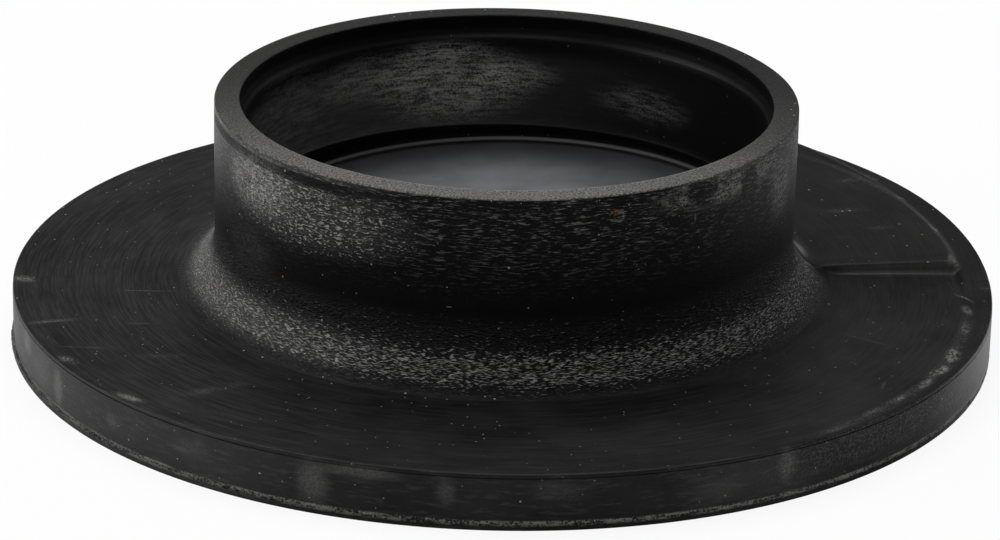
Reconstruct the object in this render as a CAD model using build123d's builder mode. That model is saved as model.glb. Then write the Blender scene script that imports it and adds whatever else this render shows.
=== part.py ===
from build123d import *
from math import acos, cos, degrees, radians, sin
import os

# Coil spring insulator: one moulded rubber piece, in millimetres.
# +Z is the axis of the collar, and z = 0 is the flat underside.

# Flange
seat_width = 30.6  # from the collar's wall to the rim
flange_thickness = 8.5
flange_edge_chamfer = 0.4
lip_projection = 0.4  # flash left by the mould around the foot of the rim
lip_height = 0.8

# Collar that stands inside the spring's last coil
collar_radius = 44.0
collar_height = 28.8  # above the seat
collar_root_radius = 8.0  # concave root between the collar and the seat
collar_edge_chamfer = 0.3

# Socket inside the collar, from its mouth down to its closed floor
mouth_wall = 3.8
mouth_depth = 2.2
mouth_taper_height = 1.3
bore_wall = 4.6
bore_length = 14.4
well_wall = 5.0  # the lowest stretch of the socket is a little narrower
well_depth = 2.8
floor_corner_radius = 1.5

# Raised pad on the seat, with the step that the coil's end butts against
pad_bearing = 42.0  # degrees from +X, the way in which the pad rises
pad_tilt = 2.0  # degrees, slope of the pad
pad_start = 2.0  # distance from the axis at which the slope would leave the seat
pad_edge_chamfer = 0.35
pad_key = 2.0  # how far the pad's solid reaches into the flange and the collar
step_angle = 4.3  # degrees from +X, face of the step

# Margin between the pad and the rim, lower than the pad, that ramps up past the step
margin_width = 4.4
margin_bearing = 60.0
margin_tilt = 3.1
margin_start = 31.0

flange_radius = collar_radius + seat_width
lip_radius = flange_radius + lip_projection
root_end_radius = collar_radius + collar_root_radius
root_end_height = flange_thickness + collar_root_radius
overall_height = flange_thickness + collar_height

mouth_radius = collar_radius - mouth_wall
bore_radius = collar_radius - bore_wall
well_radius = collar_radius - well_wall
mouth_foot_height = overall_height - mouth_depth
bore_top_height = mouth_foot_height - mouth_taper_height
well_top_height = bore_top_height - bore_length
floor_height = well_top_height - well_depth

# Body, a half section turned about the axis
with BuildPart() as insulator:
    with BuildSketch(Plane.XZ):
        with BuildLine():
            Polyline(
                (0, floor_height),
                (0, 0),
                (lip_radius, 0),
                (lip_radius, lip_height),
                (flange_radius, lip_height),
                (flange_radius, flange_thickness - flange_edge_chamfer),
                (flange_radius - flange_edge_chamfer, flange_thickness),
                (root_end_radius, flange_thickness),
            )
            RadiusArc((root_end_radius, flange_thickness), (collar_radius, root_end_height), collar_root_radius)
            Polyline(
                (collar_radius, root_end_height),
                (collar_radius, overall_height - collar_edge_chamfer),
                (collar_radius - collar_edge_chamfer, overall_height),
                (mouth_radius, overall_height),
                (mouth_radius, mouth_foot_height),
                (bore_radius, bore_top_height),
                (bore_radius, well_top_height),
                (well_radius, well_top_height),
                (well_radius, floor_height + floor_corner_radius),
            )
            RadiusArc(
                (well_radius, floor_height + floor_corner_radius),
                (well_radius - floor_corner_radius, floor_height),
                floor_corner_radius,
            )
            Line((well_radius - floor_corner_radius, floor_height), (0, floor_height))
        make_face()
    revolve(axis=Axis.Z)


# A slope rises from the seat towards its bearing. It leaves the seat at its start
# distance from the axis, and runs out again where it meets the seat at the rim.
def slope_plane(bearing, tilt, start):
    way = Vector(cos(radians(bearing)), sin(radians(bearing)), 0)
    normal = Vector(0, 0, cos(radians(tilt))) - way * sin(radians(tilt))
    return Plane(origin=way * start + Vector(0, 0, flange_thickness), z_dir=normal)


def half_span(start):
    return degrees(acos(start / flange_radius))


# Sector of a ring, cut off by each of the slopes
def sloping_sector(inner_radius, outer_radius, start_angle, end_angle, slopes):
    with BuildPart() as sector:
        with BuildSketch(Plane.XY.offset(flange_thickness - pad_key)):
            with BuildLine():
                inner_arc = CenterArc((0, 0), inner_radius, start_angle, end_angle - start_angle)
                outer_arc = CenterArc((0, 0), outer_radius, start_angle, end_angle - start_angle)
                Line(inner_arc @ 0, outer_arc @ 0)
                Line(inner_arc @ 1, outer_arc @ 1)
            make_face()
        extrude(amount=collar_height)
        for slope in slopes:
            split(bisect_by=slope, keep=Keep.BOTTOM)
    return sector.part


pad_slope = slope_plane(pad_bearing, pad_tilt, pad_start)
margin_slope = slope_plane(margin_bearing, margin_tilt, margin_start)
pad_end_angle = pad_bearing + half_span(pad_start)
margin_angle = margin_bearing - half_span(margin_start)
crest_radius = flange_radius - margin_width

with BuildPart() as pad:
    add(sloping_sector(collar_radius - pad_key, crest_radius, step_angle, pad_end_angle, [pad_slope]))
    top_edges = faces().sort_by(Axis.Z)[-1].edges()
    crest = top_edges.filter_by(GeomType.ELLIPSE).sort_by(SortBy.LENGTH)[-1]
    step_edge = top_edges.filter_by(GeomType.LINE).sort_by(Axis.Z)[-1]
    chamfer([crest, step_edge], pad_edge_chamfer)

with BuildPart() as margin:
    add(sloping_sector(crest_radius, flange_radius, margin_angle, pad_end_angle, [margin_slope, pad_slope]))
    rim_edges = faces().filter_by(GeomType.CYLINDER).sort_by(SortBy.RADIUS)[-1].edges()
    chamfer(rim_edges.filter_by(GeomType.ELLIPSE), flange_edge_chamfer)

with insulator:
    add([margin.part, pad.part])

insulator.part.label = "insulator"

os.makedirs("parts", exist_ok=True)
export_step(insulator.part, "parts/insulator.step")
print("insulator volume", round(insulator.part.volume, 1))
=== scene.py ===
import math
from types import SimpleNamespace

import bpy
import numpy as np
from mathutils import Matrix, Vector, noise


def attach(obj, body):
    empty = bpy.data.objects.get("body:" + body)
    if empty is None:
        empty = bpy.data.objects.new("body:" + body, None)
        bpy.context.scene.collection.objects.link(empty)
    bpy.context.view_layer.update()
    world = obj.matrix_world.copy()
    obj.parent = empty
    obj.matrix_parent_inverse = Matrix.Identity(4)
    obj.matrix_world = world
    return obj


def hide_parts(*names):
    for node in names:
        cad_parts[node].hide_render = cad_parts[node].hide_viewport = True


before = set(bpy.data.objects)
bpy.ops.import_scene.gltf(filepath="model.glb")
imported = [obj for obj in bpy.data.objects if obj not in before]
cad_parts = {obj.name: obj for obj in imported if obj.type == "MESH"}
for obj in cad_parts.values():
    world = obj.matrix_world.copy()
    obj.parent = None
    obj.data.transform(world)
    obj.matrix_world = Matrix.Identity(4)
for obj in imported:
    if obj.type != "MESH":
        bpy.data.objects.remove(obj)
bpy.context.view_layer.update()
mm = 0.001

# Camera

shot = {
    "elevation": 21.35,  # degrees above the floor
    "roll": -1.228,
    "distance": 0.66323,  # from the camera to the middle of the underside, along the view
    "shiftRight": 0.000293,  # where that middle lies off the picture's centre, in metres
    "shiftUp": -0.008753,
    "focalPixels": 4313.2,
    "pictureWidth": 1000,
    "sensor": 36.0,
}


def makeCamera(s):
    e, t = math.radians(s["elevation"]), math.radians(s["roll"])
    right = Vector((1, 0, 0))
    up = Vector((0, math.sin(e), math.cos(e)))
    ahead = Vector((0, math.cos(e), -math.sin(e)))
    x = right * math.cos(t) - up * math.sin(t)
    y = right * math.sin(t) + up * math.cos(t)
    place = -(x * s["shiftRight"] + y * s["shiftUp"] + ahead * s["distance"])
    data = bpy.data.cameras.new("photoCamera")
    data.sensor_width = s["sensor"]
    data.lens = s["sensor"] * s["focalPixels"] / s["pictureWidth"]
    camera = bpy.data.objects.new("photoCamera", data)
    bpy.context.scene.collection.objects.link(camera)
    turn = Matrix((x, y, -ahead)).transposed().to_4x4()
    camera.matrix_world = Matrix.Translation(place) @ turn
    bpy.context.scene.camera = camera


makeCamera(shot)
print("camera placed")

# Moulding: a half section in millimetres, turned about the axis, then given its relief

moulding = {
    "turnSteps": 540,
    "lipRadius": 74.8,
    "lipShift": -0.2,  # the flash stands out more on the left
    "lipHeight": 0.75,
    "lipRag": 0.16,
    "lipWave": 0.12,
    "rimRadius": 74.6,
    "rimGives": (1.2, 7.4),  # heights between which the rim takes up the seat's lift
    "grooveHeight": 7.86,
    "grooveDepth": 0.14,
    "seatHeight": 8.5,
    "seatRows": (69.4, 72.6),  # where the rows lie close, for the crest and the margin
    "rimEdgeRound": 0.35,
    "rootRadius": 8.0,
    "collarRadius": 44.0,
    "collarTop": 37.3,
    "topEdgeRound": 0.25,
    "mouthRadius": 40.2,
    "mouthFoot": 35.1,
    "boreRadius": 39.4,
    "boreTop": 33.8,
    "boreFoot": 19.4,
    "wellRadius": 39.0,
    "floorHeight": 16.6,
    "floorCorner": 1.5,
    "floorTilt": 0.02,  # the floor rises a little towards +X
    "stepAngle": 4.3,
    "stepProfile": [  # distance round from the step's face at mid-width, and share of the pad's lift there
        (-1.2, 0.0),
        (-0.75, 0.04),
        (-0.48, 0.1),
        (-0.28, 0.19),
        (-0.12, 0.32),
        (0.0, 0.5),
        (0.14, 0.74),
        (0.4, 0.91),
        (0.9, 1.0),
    ],
    "stepMiddle": 60.0,  # mid-width of the seat, from the axis
    "padBearing": 42.0,
    "padTilt": 2.0,
    "padStart": 2.0,
    "padCrest": 70.0,
    "crestRun": 1.4,  # how far out the crest has run 29 degrees past the step
    "marginRise": 2.3,  # above the seat, reached at the end of its ramp
    "marginFrom": -7.0,  # degrees from +X
    "marginTo": 34.0,
    "frontMarginDrop": 0.12,
    "frontCrest": 71.3,
    "warp": 0.28,
    "warpBearing": 175.0,
    "warpReach": (62, 75),  # distances from the axis over which it grows
    "unevenness": 0.12,  # of the collar
}


def spread(a, b, count):
    # points on the straight from a to b, b included and a not
    return [(a[0] + (b[0] - a[0]) * i / count, a[1] + (b[1] - a[1]) * i / count) for i in range(1, count + 1)]


def arc(centre, radius, start, end, count):
    # points on an arc by its angles in degrees, the end included and the start not
    turns = [math.radians(start + (end - start) * i / count) for i in range(1, count + 1)]
    return [(centre[0] + radius * math.cos(t), centre[1] + radius * math.sin(t)) for t in turns]


def halfSection(m):
    seat, rim, top = m["seatHeight"], m["rimRadius"], m["collarTop"]
    edge, root, ring = m["rimEdgeRound"], m["rootRadius"], m["topEdgeRound"]
    wall, lip, mouth = m["collarRadius"], m["lipRadius"], m["mouthRadius"]
    bore, well, corner, floor = m["boreRadius"], m["wellRadius"], m["floorCorner"], m["floorHeight"]
    high, foot, groove = m["boreTop"], m["boreFoot"], m["grooveHeight"]
    rowsFrom, rowsTo = m["seatRows"]
    points = [(0, 0)]
    points += spread((0, 0), (lip - 0.3, 0), 6)
    points += [(lip - 0.08, 0.06), (lip, 0.22), (lip, m["lipHeight"] - 0.2), (lip - 0.05, m["lipHeight"])]
    points += [(rim - 0.12, m["lipHeight"] + 0.12), (rim - 0.1, m["lipHeight"] + 0.3)]
    points += spread((rim, 1.3), (rim, groove - 0.26), 9)
    points += [(rim - 0.01, groove - 0.08), (rim - m["grooveDepth"], groove), (rim - 0.01, groove + 0.09)]
    points += arc((rim - edge, seat - edge), edge, 0, 90, 4)
    points += spread((rim - edge, seat), (rowsTo, seat), 4)
    points += spread((rowsTo, seat), (rowsFrom, seat), 13)
    points += spread((rowsFrom, seat), (wall + root, seat), 18)
    points += arc((wall + root, seat + root), root, 270, 180, 24)
    points += spread((wall, seat + root), (wall, top - ring), 19)
    points += arc((wall - ring, top - ring), ring, 0, 90, 3)
    points += spread((wall - ring, top), (mouth + 0.12, top), 5)
    points += arc((mouth + 0.12, top - 0.12), 0.12, 90, 180, 2)
    points += spread((mouth, top - 0.12), (mouth, m["mouthFoot"] + 0.2), 3)
    points += [(mouth - 0.06, m["mouthFoot"]), (bore + 0.12, high + 0.16), (bore, high - 0.1)]
    points += spread((bore, high - 0.1), (bore, foot + 0.15), 12)
    points += [(bore - 0.08, foot), (well + 0.05, foot - 0.05), (well, foot - 0.2)]
    points += spread((well, foot - 0.2), (well, floor + corner), 2)
    points += arc((well - corner, floor + corner), corner, 0, -90, 8)
    points += spread((well - corner, floor), (0, floor), 9)
    return points


def turnSection(m, name):
    start = math.radians(m["stepAngle"])
    points = halfSection(m)
    bpy.ops.object.select_all(action="DESELECT")
    bpy.ops.mesh.primitive_circle_add(vertices=3, radius=mm, fill_type="NOTHING")
    piece = bpy.context.object
    piece.name = name
    bpy.ops.object.mode_set(mode="EDIT")
    bpy.ops.mesh.select_all(action="SELECT")
    bpy.ops.mesh.merge(type="CENTER")
    for (r0, z0), (r1, z1) in zip(points, points[1:]):
        away = (r1 - r0) * mm
        move = (away * math.cos(start), away * math.sin(start), (z1 - z0) * mm)
        bpy.ops.mesh.extrude_region_move(TRANSFORM_OT_translate={"value": move})
    bpy.ops.mesh.select_all(action="SELECT")
    bpy.ops.mesh.spin(steps=m["turnSteps"], angle=2 * math.pi, center=(0, 0, 0), axis=(0, 0, 1))
    bpy.ops.mesh.select_all(action="SELECT")
    bpy.ops.mesh.remove_doubles(threshold=0.002 * mm)
    bpy.ops.mesh.normals_make_consistent(inside=False)
    bpy.ops.mesh.select_all(action="DESELECT")
    bpy.ops.object.mode_set(mode="OBJECT")
    return piece


def ramp(x, low, high):
    t = np.clip((x - low) / (high - low), 0, 1)
    return t * t * (3 - 2 * t)


def softMax(a, b, k):
    h = np.clip(0.5 + 0.5 * (a - b) / k, 0, 1)
    return a * h + b * (1 - h) + k * h * (1 - h)


def wander(angles, scale, seed):
    # a smooth closed curve of noise round the axis
    return np.array([noise.noise((math.cos(a) * scale, math.sin(a) * scale, seed)) for a in angles])


def readPoints(mesh):
    # the mesh's points in millimetres
    co = np.zeros(len(mesh.vertices) * 3)
    mesh.vertices.foreach_get("co", co)
    return co.reshape(-1, 3) / mm


def shapeStep(turn, m):
    # rows of points by the step are moved to its profile, each with its share of the pad's lift
    pitch = 360 / m["turnSteps"]
    half = m["turnSteps"] // 2
    column = (np.round((turn - m["stepAngle"]) / pitch).astype(int) + half) % m["turnSteps"] - half
    moved = turn.copy()
    share = (column > 0).astype(float)
    for k, (way, part) in enumerate(m["stepProfile"], -(len(m["stepProfile"]) // 2)):
        moved[column == k] = m["stepAngle"] + math.degrees(way / m["stepMiddle"])
        share[column == k] = part
    return moved, share


def liftSeat(r, z, moved, share, m):
    # slight warp of the flange, most at the rim
    a = np.radians(moved)
    warp = m["warp"] * np.cos(a - math.radians(m["warpBearing"])) * ramp(r, *m["warpReach"])

    # pad: a slope that rises towards its bearing and ends at the step
    along = r * np.cos(a - math.radians(m["padBearing"])) - m["padStart"]
    padLift = along * math.tan(math.radians(m["padTilt"]))
    above = np.where(r > m["collarRadius"] + m["rootRadius"], 0, z - m["seatHeight"])
    lifted = softMax(above + warp, padLift, 0.25 + np.clip(above, 0, 1.3))
    lift = warp + share * (lifted - above - warp)

    # margin between the pad and the rim: a ramp that starts before the step
    sweep = (moved - m["marginFrom"]) % 360
    climb = np.sin(np.radians(90 * np.clip(sweep / (m["marginTo"] - m["marginFrom"]), 0, 1)))
    marginLift = warp + m["marginRise"] * climb
    capped = np.minimum(marginLift, np.maximum(padLift - 0.25, warp))
    marginLift = np.where(share > 0, capped, marginLift)
    past = (moved - m["stepAngle"]) % 360
    crest = m["padCrest"] + m["crestRun"] * (np.clip(past - 8, 0, 60) * (share == 1) / 21) ** 2
    lift += (marginLift - lift) * ramp(r, crest - 0.6, crest + 0.8) * (sweep < 180)

    # lower margin that runs on past the step at the right front
    before = (m["stepAngle"] - moved) % 360
    front = ramp(before, 62, 30) * ramp(before, 3, 14) * (before < 180)
    return lift - front * m["frontMarginDrop"] * ramp(r, m["frontCrest"] - 0.25, m["frontCrest"] + 0.35)


def giveRelief(piece, m):
    x, y, z = readPoints(piece.data).T
    r = np.hypot(x, y)
    turn = np.degrees(np.arctan2(y, x))
    moved, share = shapeStep(turn, m)
    outer = (r > m["collarRadius"] - 0.01) & (z < m["seatHeight"] + m["rootRadius"] + 0.01)
    givesFrom, givesTo = m["rimGives"]
    gives = np.clip((z - givesFrom) / (givesTo - givesFrom), 0, 1)
    z = z + np.where(outer, liftSeat(r, z, moved, share, m) * gives, 0)

    # ragged flash at the foot
    lip = (r > m["rimRadius"] - 0.3) & (z < m["lipHeight"] + 0.05)
    edge = ramp(z, 0.0, 0.5)
    rag = wander(np.radians(turn), 60, 1.5) + 0.6 * wander(np.radians(turn), 160, 4.5)
    r = np.where(lip, r - m["lipRag"] * edge * np.clip(0.5 + rag, 0, 1.4), r)
    z = np.where(lip, z + m["lipWave"] * edge * wander(np.radians(turn), 90, 7.5), z)

    # socket's floor
    low = (r < m["boreRadius"] - 0.3) & (z > 10) & (z < m["boreFoot"])
    z = np.where(low, z + m["floorTilt"] * x * ramp(z, m["boreFoot"] - 0.2, m["floorHeight"] + 1.5), z)

    # small unevenness of a soft moulding
    a = np.radians(moved)
    nx, ny = r * np.cos(a), r * np.sin(a)
    wave = np.array([noise.noise((u * 0.05, v * 0.05, w * 0.08)) for u, v, w in zip(nx, ny, z)])
    r = r + np.where((r > 38) & (r < 70) & (z > 18), m["unevenness"] * wave, 0) * ramp(z, 18, 22)
    nx, ny = r * np.cos(a), r * np.sin(a)
    nx = np.where(lip, nx + m["lipShift"], nx)
    co = np.stack([nx, ny, z], 1) * mm
    piece.data.vertices.foreach_set("co", co.ravel())
    piece.data.update()


insulator = turnSection(moulding, "insulatorMoulding")
giveRelief(insulator, moulding)
bpy.ops.object.select_all(action="DESELECT")
insulator.select_set(True)
bpy.context.view_layer.objects.active = insulator
bpy.ops.object.shade_smooth_by_angle(angle=math.radians(35))
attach(insulator, "root")
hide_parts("insulator")
print("moulding turned:", len(insulator.data.polygons), "faces")

# Materials


class Wire:
    # one output socket, so that shader maths reads as plain sums
    def __init__(self, tree, socket=None):
        self.tree, self.socket = tree, socket

    def node(self, kind, settings=(), sockets=(), out=0):
        made = self.tree.nodes.new(kind)
        for key, value in dict(settings).items():
            setattr(made, key, value)
        for key, value in dict(sockets).items():
            if isinstance(value, Wire):
                self.tree.links.new(value.socket, made.inputs[key])
            else:
                made.inputs[key].default_value = value
        return Wire(self.tree, made.outputs[out])

    def sum(self, operation, *others):
        return self.node("ShaderNodeMath", {"operation": operation}, enumerate((self, *others)))

    def __add__(self, other):
        return self.sum("ADD", other)

    def __sub__(self, other):
        return self.sum("SUBTRACT", other)

    def __rsub__(self, other):
        return self.sum("MULTIPLY_ADD", -1.0, other)

    def __mul__(self, other):
        return self.sum("MULTIPLY", other)

    __radd__, __rmul__ = __add__, __mul__


def startMaterial(name):
    material = bpy.data.materials.new(name)
    material.use_nodes = True
    material.node_tree.nodes.clear()
    return material, Wire(material.node_tree)


def toOutput(shader, kind="ShaderNodeOutputMaterial"):
    output = shader.tree.nodes.new(kind)
    shader.tree.links.new(shader.socket, output.inputs["Surface"])


def axes(vector):
    return [vector.node("ShaderNodeSeparateXYZ", {}, {0: vector}, out=k) for k in range(3)]


def joined(x, y, z):
    return x.node("ShaderNodeCombineXYZ", {}, {0: x, 1: y, 2: z})


def smooth(value, low, high):
    # 0 at low and 1 at high, which may be the smaller of the two
    sockets = {"Value": value, "From Min": low, "From Max": high}
    return value.node("ShaderNodeMapRange", {"interpolation_type": "SMOOTHSTEP"}, sockets)


def near(value, middle, far, close):
    # 1 within close of the middle, and 0 beyond far
    return smooth((value - middle).sum("ABSOLUTE"), far, close)


def cloud(vector, scale, detail, roughness):
    sockets = {"Vector": vector, "Scale": scale, "Detail": detail, "Roughness": roughness}
    return vector.node("ShaderNodeTexNoise", {}, sockets)


def mixed(factor, a, b):
    sockets = {0: factor, 6: a, 7: b}
    return factor.node("ShaderNodeMix", {"data_type": "RGBA"}, sockets, out=2)


def onWall(radius, bearing, height):
    turn = math.radians(bearing)
    return (radius * math.cos(turn), radius * math.sin(turn), height)


def spot(place, centre, size, turn=0.0, soft=0.35):
    # soft patch: its long side is turned in plan from the way round the axis at its centre
    wayRound = math.atan2(centre[1], centre[0]) + math.pi / 2 + math.radians(turn)
    sockets = {"Vector": place, "Location": centre, "Rotation": (0, 0, wayRound), "Scale": size}
    local = place.node("ShaderNodeMapping", {"vector_type": "TEXTURE"}, sockets)
    away = local.node("ShaderNodeVectorMath", {"operation": "LENGTH"}, {0: local}, out=1)
    return smooth(away, 1.0, soft)


rubber = {
    "black": (0.0014, 0.0014, 0.0016, 1),
    # pale dust; the same colour is used for painted sheen and highlights
    "dust": (0.36, 0.355, 0.345, 1),
    # colour of the painted highlights on the grain and the wrinkles
    "pale": (0.72, 0.715, 0.7, 1),
    "floorHazeAndShade": (0.31, 0.315, 0.335, 1),  # dust on the socket's floor
    "rust": (0.2, 0.085, 0.02, 1),
    "seatDust": 0.028,
    # painted sheen of the root's grain on the left, with a little dust elsewhere
    "rootDustAndSheen": 0.3,
    "rimDust": 0.035,
    "collarPaleness": 0.06,
    "ringPaleness": 0.175,
    "boreDust": 0.2,
    "floorDust": 0.4,
    "speckCell": 1.5,  # width in millimetres of a cell, which holds one speck at most
    "speckGrowth": 0.07,  # added to the radius of the largest, as a share of the cell
    "dull": (0.6, 0.08),  # roughness and specular level
    "glossy": (0.36, 0.5),
}

# Marks by bearing, radius, height, half-length round, half-width, half-height, turn and strength
broadMarks = [
    # seat
    (-175, 73.0, 8.6, 2.4, 1.6, 1, 60, 0.22),
    (-161, 70.5, 8.6, 5.4, 0.8, 1, 92, 0.1),
    (-149, 73.2, 8.6, 2.4, 1.3, 1, 20, 0.2),
    (-136, 73.4, 8.6, 4.0, 1.0, 1, 10, 0.22),
    (-145, 61.0, 8.6, 5.4, 0.8, 1, 60, 0.05),
    (-131, 62.0, 8.6, 7.0, 1.4, 1, 70, 0.04),
    (-1, 73.7, 8.8, 1.4, 0.8, 1, 20, 0.12),
    (26, 60.5, 10.3, 5.4, 0.9, 1.5, 70, 0.045),
    (18, 62.0, 10.3, 3.0, 0.8, 1.5, 75, 0.05),
    (35.5, 68.0, 10.6, 3.4, 0.8, 1.5, 70, 0.05),
    # chalky patches by the crest and the margin
    (35, 72.3, 10.7, 1.8, 0.8, 1.5, 10, 0.14),
    (27, 71.0, 10.6, 1.4, 0.7, 1.5, 10, 0.14),
    (16, 70.4, 10.4, 1.8, 0.7, 1.5, 10, 0.2),
    (5, 69.7, 10.1, 1.5, 0.9, 1.5, 40, 0.16),
    (-8, 70.9, 8.5, 2.4, 1.0, 1, 20, 0.16),
    (-14, 71.3, 8.4, 2.8, 0.9, 1, 5, 0.14),
    (-22.5, 71.9, 8.4, 3.4, 1.3, 1, 12, 0.3),
    (-27.5, 72.3, 8.4, 3.4, 1.2, 1, -10, 0.28),
    (-32, 72.5, 8.4, 2.8, 0.8, 1, 5, 0.2),
    (-37.5, 72.3, 8.4, 2.7, 0.7, 1, 0, 0.15),
    (-43, 72.4, 8.4, 2.6, 0.7, 1, 0, 0.1),
    (-50, 73.4, 8.4, 3.0, 0.6, 1, 0, 0.08),
    # rim
    (-149.5, 74.6, 4.3, 2.0, 1, 4.2, 0, 0.2),
    (-160, 74.6, 6.4, 3.0, 1, 2.4, 0, 0.2),
    (-154, 74.6, 4.5, 6.0, 1, 4.6, 0, 0.06),
    (-138, 74.6, 4.6, 1.8, 1, 1.6, 0, 0.08),
    (-126, 74.6, 5.2, 4.0, 1, 2.2, 0, 0.05),
    (-110.3, 74.6, 4.8, 3.2, 1, 4.6, 0, 0.12),
    (-105.0, 74.6, 7.3, 8.4, 1, 1.3, 0, 0.12),
    (-95.6, 74.6, 5.6, 1.6, 1, 3.0, 0, 0.08),
    (-84, 74.6, 6.2, 5.4, 1, 1.8, 0, 0.04),
    (-66, 74.6, 4.0, 5.4, 1, 2.4, 0, 0.04),
    (-57.4, 74.6, 5.8, 1.9, 1, 3.6, 0, 0.12),
    # socket
    (103, 39.4, 26.3, 17, 8, 8.0, 0, 0.1),
    (123, 39.4, 28.6, 13, 8, 5.0, 0, 0.05),
    (88, 39.4, 27.6, 9, 8, 3.2, 0, 0.06),
    (106, 39.4, 31.7, 11, 8, 1.4, 0, 0.07),
    (56, 39.4, 25.2, 11, 8, 3.6, 0, 0.035),
    (150, 39.4, 26.5, 18, 10, 10, 0, 0.02),
    # collar, with two patches that stayed smooth
    (-146, 44.0, 32.2, 12, 6, 6.0, 0, 0.2),
    (-148, 44.0, 21.0, 9, 6, 4.5, 0, 0.03),
    (-42, 44.0, 35.0, 19, 9, 3.0, 0, 0.16),
    (-22, 44.0, 30.0, 6, 5, 6.0, 0, 0.12),
    (-49.5, 44.0, 35.2, 3.8, 3, 1.9, 0, -0.6),
    (-36.0, 44.0, 34.2, 2.6, 3, 2.8, 0, -0.6),
]
fineMarks = [
    (-170, 54.5, 8.6, 6.5, 0.16, 1, 80, 0.1),
    (-152, 69.5, 8.6, 4.4, 0.25, 1, 62, 0.09),
    (-157, 58.0, 8.6, 3.0, 0.3, 1, 70, 0.06),
    (-4, 70.2, 8.6, 3.4, 0.3, 1, 40, 0.13),
    (-36, 68.2, 8.5, 2.6, 0.35, 1, 20, 0.09),
    (-32, 60.8, 8.5, 1.2, 0.3, 1, 70, 0.09),
    (-23, 58.5, 8.5, 6.0, 0.14, 1, 80, 0.09),
    (16, 55.6, 10.0, 2.2, 0.25, 1.5, 80, 0.05),
]
hairs = [
    (-113.5, 44.0, 34.6, 0.9, 0.5, 0.09, 0, 0.3),
    (-101.8, 44.0, 31.0, 0.35, 0.5, 0.8, 0, 0.1),
    (-51.5, 44.0, 31.6, 0.3, 0.5, 0.9, 0, 0.16),
    (-24.0, 44.0, 30.6, 0.25, 0.5, 0.7, 0, 0.14),
    (-67.4, 44.0, 34.0, 0.2, 0.5, 0.8, 0, 0.2),
    (-100.0, 44.0, 20.5, 0.6, 0.5, 0.13, 0, 0.3),
]


def paintMarks(piece, table):
    # broad soft marks are kept on the mesh, which keeps the shader small
    co = readPoints(piece.data)
    total = np.zeros(len(co))
    for bearing, radius, height, long, wide, high, turn, strength in table:
        away = co - np.array(onWall(radius, bearing, height))
        way = math.radians(bearing + 90 + turn)
        lengthwise = (away[:, 0] * math.cos(way) + away[:, 1] * math.sin(way)) / long
        sideways = (away[:, 1] * math.cos(way) - away[:, 0] * math.sin(way)) / wide
        far = np.sqrt(lengthwise**2 + sideways**2 + (away[:, 2] / high) ** 2)
        total += ramp(far, 1.0, 0.25) * strength
    wear = piece.data.attributes.new("wear", "FLOAT", "POINT")
    wear.data.foreach_set("value", np.maximum(total, 0).astype(np.float32))


def marks(place, table):
    total = 0.0
    for bearing, radius, height, long, wide, high, turn, strength in table:
        patch = spot(place, onWall(radius, bearing, height), (long, wide, high), turn)
        total = patch * strength + total
    return total


def findPlace(wire):
    # the point in millimetres, and its distance from the axis
    metres = wire.node("ShaderNodeTexCoord", out="Object")
    place = metres.node("ShaderNodeVectorMath", {"operation": "SCALE"}, {0: metres, "Scale": 1 / mm})
    x, y, z = axes(place)
    return SimpleNamespace(place=place, x=x, y=y, z=z, r=(x * x + y * y).sum("SQRT"))


def findFaces(skin, shape):
    # share of each face at the point, from 0 to 1
    x, y, z, r = skin.x, skin.y, skin.z, skin.r
    wallMiddle = (shape["collarRadius"] + shape["mouthRadius"]) / 2
    rootTop = shape["seatHeight"] + shape["rootRadius"]
    top, rimRadius, well = shape["collarTop"], shape["rimRadius"], shape["wellRadius"]
    high, foot = shape["boreTop"], shape["boreFoot"]
    skin.inside = smooth(r, wallMiddle + 0.2, wallMiddle - 0.2)
    skin.outside = 1 - skin.inside
    skin.ring = smooth(z, top - 0.32, top - 0.1)
    skin.upright = skin.outside * smooth(z, rootTop - 2.3, rootTop + 0.3) * (1 - skin.ring)
    skin.lowShade = smooth(z, 20, 36)  # the collar darkens towards its foot
    # strip under the collar's top edge at the front left, smoother than the rest
    skin.strip = near(z, 35.6, 0.9, 0.55) * smooth(x, -15, -25) * smooth(y, 10, -10)
    skin.rim = smooth(r, rimRadius - 0.22, rimRadius - 0.1)
    skin.bore = skin.inside * smooth(z, foot - 0.3, foot + 0.1) * smooth(z, high + 0.1, high - 0.2)
    skin.ledge = skin.inside * smooth(z, high - 0.2, high + 0.05) * smooth(z, high + 0.8, high + 0.2)
    floor = smooth(r, well - 0.8, well - 1.8) * smooth(z, foot - 0.4, foot - 1.4)
    skin.floor = skin.inside * floor * smooth(z, 9, 11)  # without the underside
    level = z - x * shape["floorTilt"]  # height with the floor's tilt taken off
    corner = near(level, shape["floorHeight"] + 0.5, 0.3, 0.06)
    skin.corner = skin.inside * corner * smooth(r, well - shape["floorCorner"], well - 0.7)
    skin.left = smooth(x, -10, -52)
    skin.right = smooth(x, 12, 42)
    skin.rightRim = smooth(x, 30, 52)


def findStep(skin, shape):
    x, y, z = skin.x, skin.y, skin.z
    turn = math.radians(shape["stepAngle"])
    slope = math.tan(math.radians(shape["padTilt"]))
    share = math.cos(math.radians(shape["padBearing"] - shape["stepAngle"]))
    past = y * math.cos(turn) - x * math.sin(turn)  # distance behind the step's face
    along = x * math.cos(turn) + y * math.sin(turn)  # distance out along it
    atAxis = shape["seatHeight"] - shape["padStart"] * slope  # height of the pad's slope there
    depth = along * (share * slope) + atAxis - z  # below the pad's edge at the step
    skin.padSide = smooth(past, -0.4, 0.4) * smooth(x, -5, 5)
    face = smooth(depth, 0.2, 0.5) * near(past, -0.15, 0.7, 0.35) * smooth(along, 50, 54)
    skin.stepFace = face * smooth(along, 70.6, 69.6)
    # painted shade in the crease of the root, just in front of the step's face
    crease = near(along * 0.135 + past, 6.16, 0.45, 0.12)
    skin.crease = crease * smooth(along, 47, 49) * smooth(along, 58, 55.5)


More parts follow.
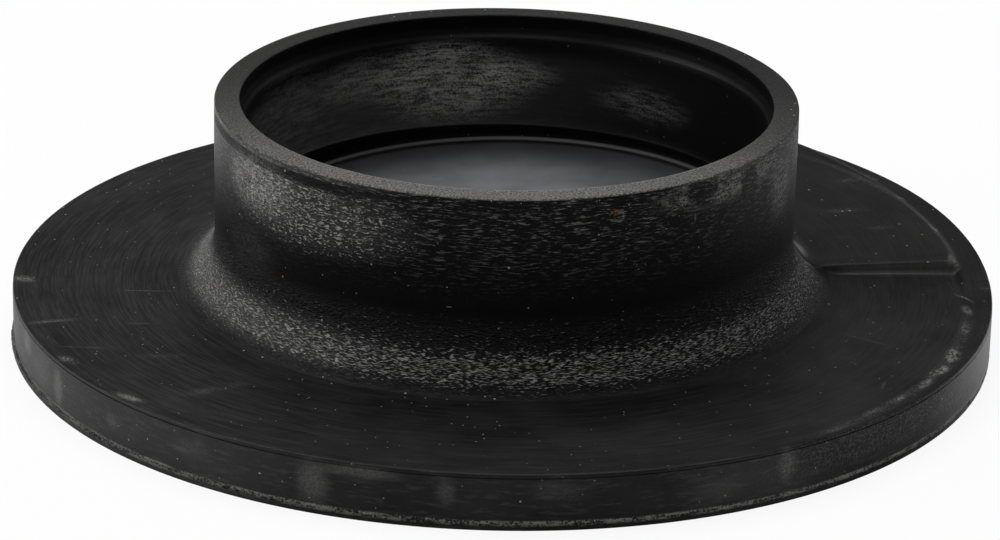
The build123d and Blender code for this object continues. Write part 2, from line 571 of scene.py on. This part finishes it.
def findPatterns(skin):
    place, x, y, z, r = skin.place, skin.x, skin.y, skin.z, skin.r
    wobble = cloud(place, 0.5, 2.0, 0.6)
    skin.patchy = cloud(place, 0.09, 3.0, 0.6)
    skin.fine = cloud(place, 3.0, 2.0, 0.6)
    # these run round the axis, so they change slowly in plan
    skin.turned = cloud(joined(x * 0.04, y * 0.04, r), 3.0, 3.0, 0.7)
    skin.scraped = cloud(joined(x * 0.13, y * 0.13, z + wobble * 0.3), 4.6, 3.0, 0.7)
    skin.scuffed = cloud(joined(x * 0.28, y * 0.28, z * 1.7), 1.0, 4.0, 0.75)
    skin.lines = smooth(skin.scraped, 0.53, 0.68)
    # ridges of the root and wrinkles of the collar's left
    skin.pebbles = cloud(joined(x, y, (r - z) * 4.2 + wobble * 6), 1.2, 1.0, 0.5)
    skin.wrinkles = cloud(joined(x, y, z * 2.5 + wobble * 2), 1.6, 1.0, 0.5)
    skin.wear = place.node("ShaderNodeAttribute", {"attribute_name": "wear"}, out="Fac")


def findGrain(skin, shape):
    # grain of the root, which ends at the step, and of the collar's left
    z, r, seatHeight = skin.z, skin.r, shape["seatHeight"]
    onRoot = skin.outside * smooth(z, seatHeight - 0.3, seatHeight + 0.1) * (1 - skin.padSide)
    skin.grain = smooth(z, 16.2, 12.2) * smooth(r, 48.9, 46.4) * onRoot
    skin.reach = smooth(z, 20.0, 15.5) * smooth(r, 50.0, 48.0) * onRoot
    skin.seat = smooth(r, 45.5, 48.5) * (1 - skin.rim) * smooth(z, 6, 7) * (1 - skin.grain)
    centre = onWall(shape["collarRadius"], -131, 30.8)
    skin.leather = spot(skin.place, centre, (30, 8, 7.5), 0, 0.3) * skin.upright


def flangeDustAndPaintedLight(skin, m):
    # dust of the seat and root, with painted shade, sheen and highlight
    x, y, r, fine = skin.x, skin.y, skin.r, skin.fine
    frontMargin = smooth(r, 71.6, 72.4) * smooth(y, 3, -3) * smooth(x, 40, 56)
    padMargin = smooth(r, 70.8, 71.6) * smooth(y, 1, 5) * smooth(x, 10, 40)
    mottled = smooth(fine, 0.6, 0.44)
    # painted shade in front of the collar's root and in the crease by the step, with darker mottled margins
    # and a slightly darker pad
    toneAndPaintedShade = (1 - (frontMargin + padMargin) * mottled * 0.7) * (1 - smooth(r, 52, 47) * 0.35)
    toneAndPaintedShade = toneAndPaintedShade * (1 - skin.crease * 0.9) * (1 - skin.padSide * 0.15)
    # turning marks, painted paler on the left: painted sheen
    turning = smooth(skin.turned, 0.38, 0.66) * (skin.left * 0.8 + 0.7)
    dust = skin.seat * m["seatDust"] * (turning + smooth(skin.patchy, 0.3, 0.75) * 0.7) * toneAndPaintedShade
    dust = dust + skin.stepFace * (fine * 0.1 + 0.02)
    # the root's grain is painted pale on the left: painted sheen, with a little dust elsewhere
    dust = dust + skin.grain * m["rootDustAndSheen"] * (skin.left * 0.5 + 0.02)
    # painted highlight on the root beside the step
    rootHighlight = spot(skin.place, onWall(46.6, 11, 11.6), (5.0, 1.7, 2.8), 0, 0.15)
    return dust + rootHighlight * 0.45


def smearsAndCrestHighlight(skin):
    # smears, the chalky band by the front margin, and a painted highlight along the pad's crest, everywhere
    # but on the rim
    x, y, r, fine = skin.x, skin.y, skin.r, skin.fine
    broken = smooth(fine * 0.5 + skin.scuffed * 0.5, 0.4, 0.6)
    smears = (marks(skin.place, fineMarks) + skin.wear) * broken * 2
    blotches = smooth(fine, 0.42, 0.62)
    frontBand = near(r + y * 0.045, 70.5, 1.4, 0.1) * smooth(y, -10, -16) * smooth(x, 36, 54)
    # painted highlight along the pad's crest
    padCrestHighlight = near(r, 70.3, 0.9, 0.1) * smooth(y, 4.5, 6) * smooth(x, 40, 60)
    chalkAndCrestHighlight = frontBand * blotches * 0.09 + padCrestHighlight * (blotches * 0.06 + 0.025)
    return (smears + chalkAndCrestHighlight) * (1 - skin.rim)


def ringPaleness(skin, m):
    # the collar's level top: pale with dust, paler still towards the front and less pale on the right, with a
    # painted highlight along its inner edge at the front
    y, r = skin.y, skin.r
    dust = m["ringPaleness"] * (smooth(y, 20, -44) * 1.15 + 0.45) * (1 - skin.right * 0.35)
    dust = dust * (smooth(skin.fine, 0.36, 0.68) * (smooth(y, 10, -36) + 0.5) + 0.5)
    # painted highlight along the inner edge at the front
    return skin.ring * (dust + smooth(r, 40.6, 40.35) * smooth(y, -15, -35) * 0.2)


def collarPaleness(skin, m):
    x, z = skin.x, skin.z
    worn = skin.wear * smooth(skin.fine * 0.5 + skin.scraped * 0.5, 0.42, 0.6)
    dust = skin.lowShade * (skin.lines * (7 - skin.right * 3.5) + 0.1) * m["collarPaleness"]
    dust = dust + worn + skin.leather * 0.04
    # painted highlight along the collar's top edge at the left
    dust = dust + smooth(z, 36.3, 36.5) * smooth(x, -10, -25) * 0.06
    return (dust * (1 - skin.strip * 0.8) + marks(skin.place, hairs)) * skin.upright


def socketDustAndCornerHighlight(skin, m):
    dust = (skin.scuffed * 0.8 + 0.25) * smooth(skin.z, 32.5, 29) * smooth(skin.x, 36, -24) * m["boreDust"]
    dust = skin.wear * smooth(skin.scuffed * 0.65 + skin.fine * 0.35, 0.4, 0.62) * 6 + dust
    # the pale line at the floor's corner is a painted highlight
    return dust * skin.bore + skin.corner * 0.17


def rimDust(skin, m):
    fine, scuffed = skin.fine, skin.scuffed
    pebbled = skin.rightRim * smooth(skin.z, 2.4, 4.4) * smooth(fine, 0.52, 0.6)
    dust = smooth(skin.patchy, 0.3, 0.75) * 0.7 + smooth(scuffed, 0.5, 0.66) * 1.2
    dust = dust + pebbled * 3 + smooth(skin.y, -20, -70) * 0.3
    dust = skin.wear * (smooth(fine, 0.3, 0.7) * 0.8 + 0.6) + dust * m["rimDust"]
    flash = near(skin.z, 1.1, 0.5, 0.15) * smooth(scuffed * 0.5 + fine * 0.5, 0.44, 0.56)
    return (dust + flash * 0.5) * skin.rim


def colourOf(skin, m):
    # the dust share also holds painted shade, sheen and highlights
    dust = flangeDustAndPaintedLight(skin, m) + smearsAndCrestHighlight(skin) + ringPaleness(skin, m) + collarPaleness(skin, m)
    dust = dust + socketDustAndCornerHighlight(skin, m) + rimDust(skin, m)
    colour = mixed(dust, m["black"], m["dust"])
    floorHazeAndShade = smooth(skin.patchy, 0.2, 0.8) * 0.5 + skin.scuffed * 0.3 + 0.6
    # the haze fades towards the bore's wall: painted shade from the wall
    floorHazeAndShade = floorHazeAndShade * skin.floor * m["floorDust"] * (1 - smooth(skin.r, 18, 37) * 0.78)
    colour = mixed(floorHazeAndShade, colour, m["floorHazeAndShade"])
    # painted highlights on the tops of the root's grain and of the collar's wrinkles
    grainHighlights = smooth(skin.pebbles + skin.grain * 0.18, 0.66, 0.84) * skin.reach
    grainHighlights = grainHighlights * (0.46 - skin.left * 0.06 - skin.right * 0.16)
    wrinkleHighlights = smooth(skin.wrinkles + skin.leather * 0.13, 0.66, 0.8) * smooth(skin.leather, 0, 0.3)
    wrinkleHighlights = wrinkleHighlights * skin.upright * (1 - skin.strip) * 0.38
    return mixed(grainHighlights + wrinkleHighlights, colour, m["pale"])


def addSpecks(colour, skin, m, shape):
    # specks of dust and rust, and one rusty tuft on the collar
    sockets = {"Vector": skin.place, "Scale": 1 / m["speckCell"]}
    away = skin.place.node("ShaderNodeTexVoronoi", {}, sockets)
    chance = skin.place.node("ShaderNodeTexVoronoi", {}, sockets, out="Color")
    pick, tint, size = axes(chance)
    specks = smooth(away - size * size * size * m["speckGrowth"], 0.06, 0.03)
    specks = specks * smooth(pick, 0.4, 0.41) * (1 - skin.inside * 0.8)
    colour = mixed(specks * 0.8, colour, m["dust"])
    colour = mixed(specks * smooth(tint, 0.7, 0.72) * 0.8, colour, m["rust"])
    centre = onWall(shape["collarRadius"], -68.9, 34.5)
    tuft = spot(skin.place, centre, (1.5, 1, 0.9), 0, 0.3) * smooth(skin.fine, 0.5, 0.6)
    return mixed(tuft * 0.9, colour, m["rust"])


def reliefOf(skin):
    # relief too fine for the mesh, in millimetres
    fine, scuffed = skin.fine, skin.scuffed
    height = skin.reach * skin.pebbles * 0.5 + skin.leather * skin.wrinkles * 0.3
    height = height + skin.upright * (1 - skin.leather) * (skin.scraped * 0.08 + fine * 0.03)
    height = height + skin.ring * fine * 0.07 + skin.seat * skin.turned * 0.03
    height = height + skin.rim * (fine * (skin.rightRim * 0.08 + 0.05) + scuffed * 0.06)
    height = height + skin.bore * scuffed * 0.03
    return height.node("ShaderNodeBump", {}, {"Strength": 1.0, "Distance": mm, "Height": height})


def glossOf(skin):
    # share of the glossier finish, most at the sides
    side = smooth(skin.x.sum("ABSOLUTE"), 22, 42)
    upright = (side * 0.5 + 0.02) * (skin.lowShade * 0.95 + 0.05) * (1 - skin.right * (1 - skin.lines) * 0.7)
    rim = side * (0.4 - skin.rightRim * 0.34) + 0.12 - skin.rightRim * 0.05 + smooth(skin.x, 60, 72) * 0.7
    gloss = skin.upright * upright + skin.rim * rim
    gloss = gloss + skin.reach * (skin.grain * skin.left * 0.5 + 0.3) + skin.leather * 0.3 + skin.seat * 0.08
    gloss = gloss + skin.ledge * 0.32 + skin.bore * 0.25 + skin.corner * 0.4
    return gloss * (1 - skin.strip * 0.7)


def makeRubber(m, shape):
    material, wire = startMaterial("mouldedRubber")
    skin = findPlace(wire)
    findFaces(skin, shape)
    findStep(skin, shape)
    findPatterns(skin)
    findGrain(skin, shape)
    colour = addSpecks(colourOf(skin, m), skin, m, shape)
    shared = {"Base Color": colour, "Normal": reliefOf(skin)}
    dull, glossy = [
        wire.node("ShaderNodeBsdfPrincipled", {}, {**shared, "Roughness": rough, "Specular IOR Level": shine})
        for rough, shine in (m["dull"], m["glossy"])
    ]
    toOutput(wire.node("ShaderNodeMixShader", {}, {0: glossOf(skin), 1: dull, 2: glossy}))
    return material


insulator.data.materials.clear()
insulator.data.materials.append(makeRubber(rubber, moulding))
paintMarks(insulator, broadMarks)
print("rubber made")

# Stage

stage = {
    "floorSize": 6.0,
    "paleColour": (1.0, 1.0, 1.0, 1),
    "floorColour": (0.85, 0.85, 0.85, 1),
    "floorPale": 0.9,  # share of plain white that the camera sees on the floor, over its lit colour
    "floorGloss": (0.12, 0.75),  # share in reflections, in front and what more there is behind
    "floorTurn": (-0.06, 0.04),  # where the front ends and the part behind begins, in metres
    "ambient": 0.15,
    "horizon": 0.7,  # pale room low down, behind and at the sides
    "horizonHeight": (0.34, 0.1),  # steepness at which it starts, and is full
    "horizonDepth": (-0.4, 0.2),  # the same from the front to the back
    "lamps": {  # place and size in metres, and power
        "top": ((-0.1, 0.3, 1.0), (1.0, 0.7), 9.5),
        "left": ((-1.1, -0.15, 0.35), (0.9, 0.5), 3),
        "front": ((0.0, -0.75, 0.95), (0.9, 0.5), 2.5),
    },
}


def makeFloor(s):
    bpy.ops.object.select_all(action="DESELECT")
    bpy.ops.mesh.primitive_plane_add(size=s["floorSize"], location=(0, 0, 0))
    floor = bpy.context.object
    floor.name = "paleFloor"
    material, wire = startMaterial("paleFloor")
    matt = wire.node("ShaderNodeBsdfDiffuse", {}, {"Color": s["floorColour"]})
    white = wire.node("ShaderNodeEmission", {}, {"Color": s["paleColour"], "Strength": 1.0})
    seen = wire.node("ShaderNodeLightPath", out="Is Camera Ray") * s["floorPale"]
    behind = smooth(axes(wire.node("ShaderNodeTexCoord", out="Object"))[1], *s["floorTurn"])
    inFront, moreBehind = s["floorGloss"]
    glossy = wire.node("ShaderNodeLightPath", out="Is Glossy Ray") * (behind * moreBehind + inFront)
    through = wire.node("ShaderNodeLightPath", out="Is Transmission Ray") * s["floorPale"]
    share = seen.sum("MAXIMUM", glossy).sum("MAXIMUM", through)
    toOutput(wire.node("ShaderNodeMixShader", {}, {0: share, 1: matt, 2: white}))
    floor.data.materials.append(material)


def makeWorld(s):
    world = bpy.data.worlds.new("studio")
    bpy.context.scene.world = world
    world.use_nodes = True
    world.node_tree.nodes.clear()
    wire = Wire(world.node_tree)
    along, up = axes(wire.node("ShaderNodeTexCoord", out="Generated"))[1:]
    low = smooth(up, *s["horizonHeight"]) * smooth(along, *s["horizonDepth"]) * s["horizon"] + s["ambient"]
    seen = wire.node("ShaderNodeLightPath", out="Is Camera Ray")
    through = wire.node("ShaderNodeLightPath", out="Is Transmission Ray")
    strength = low.sum("MAXIMUM", seen).sum("MAXIMUM", through)
    back = wire.node("ShaderNodeBackground", {}, {"Color": s["paleColour"], "Strength": strength})
    toOutput(back, "ShaderNodeOutputWorld")


def makeLamp(name, place, size, power):
    # a panel that faces the middle of the underside
    data = bpy.data.lights.new(name, "AREA")
    data.shape, data.size, data.size_y = "RECTANGLE", size[0], size[1]
    data.energy = power
    lamp = bpy.data.objects.new(name, data)
    bpy.context.scene.collection.objects.link(lamp)
    lamp.location = place
    lamp.rotation_mode = "QUATERNION"
    lamp.rotation_quaternion = (-Vector(place)).to_track_quat("-Z", "Y")
    lamp.visible_camera = False


makeFloor(stage)
makeWorld(stage)
for name, lampSettings in stage["lamps"].items():
    makeLamp(name, *lampSettings)
print("stage set")

bpy.context.scene.view_settings.view_transform = "Standard"
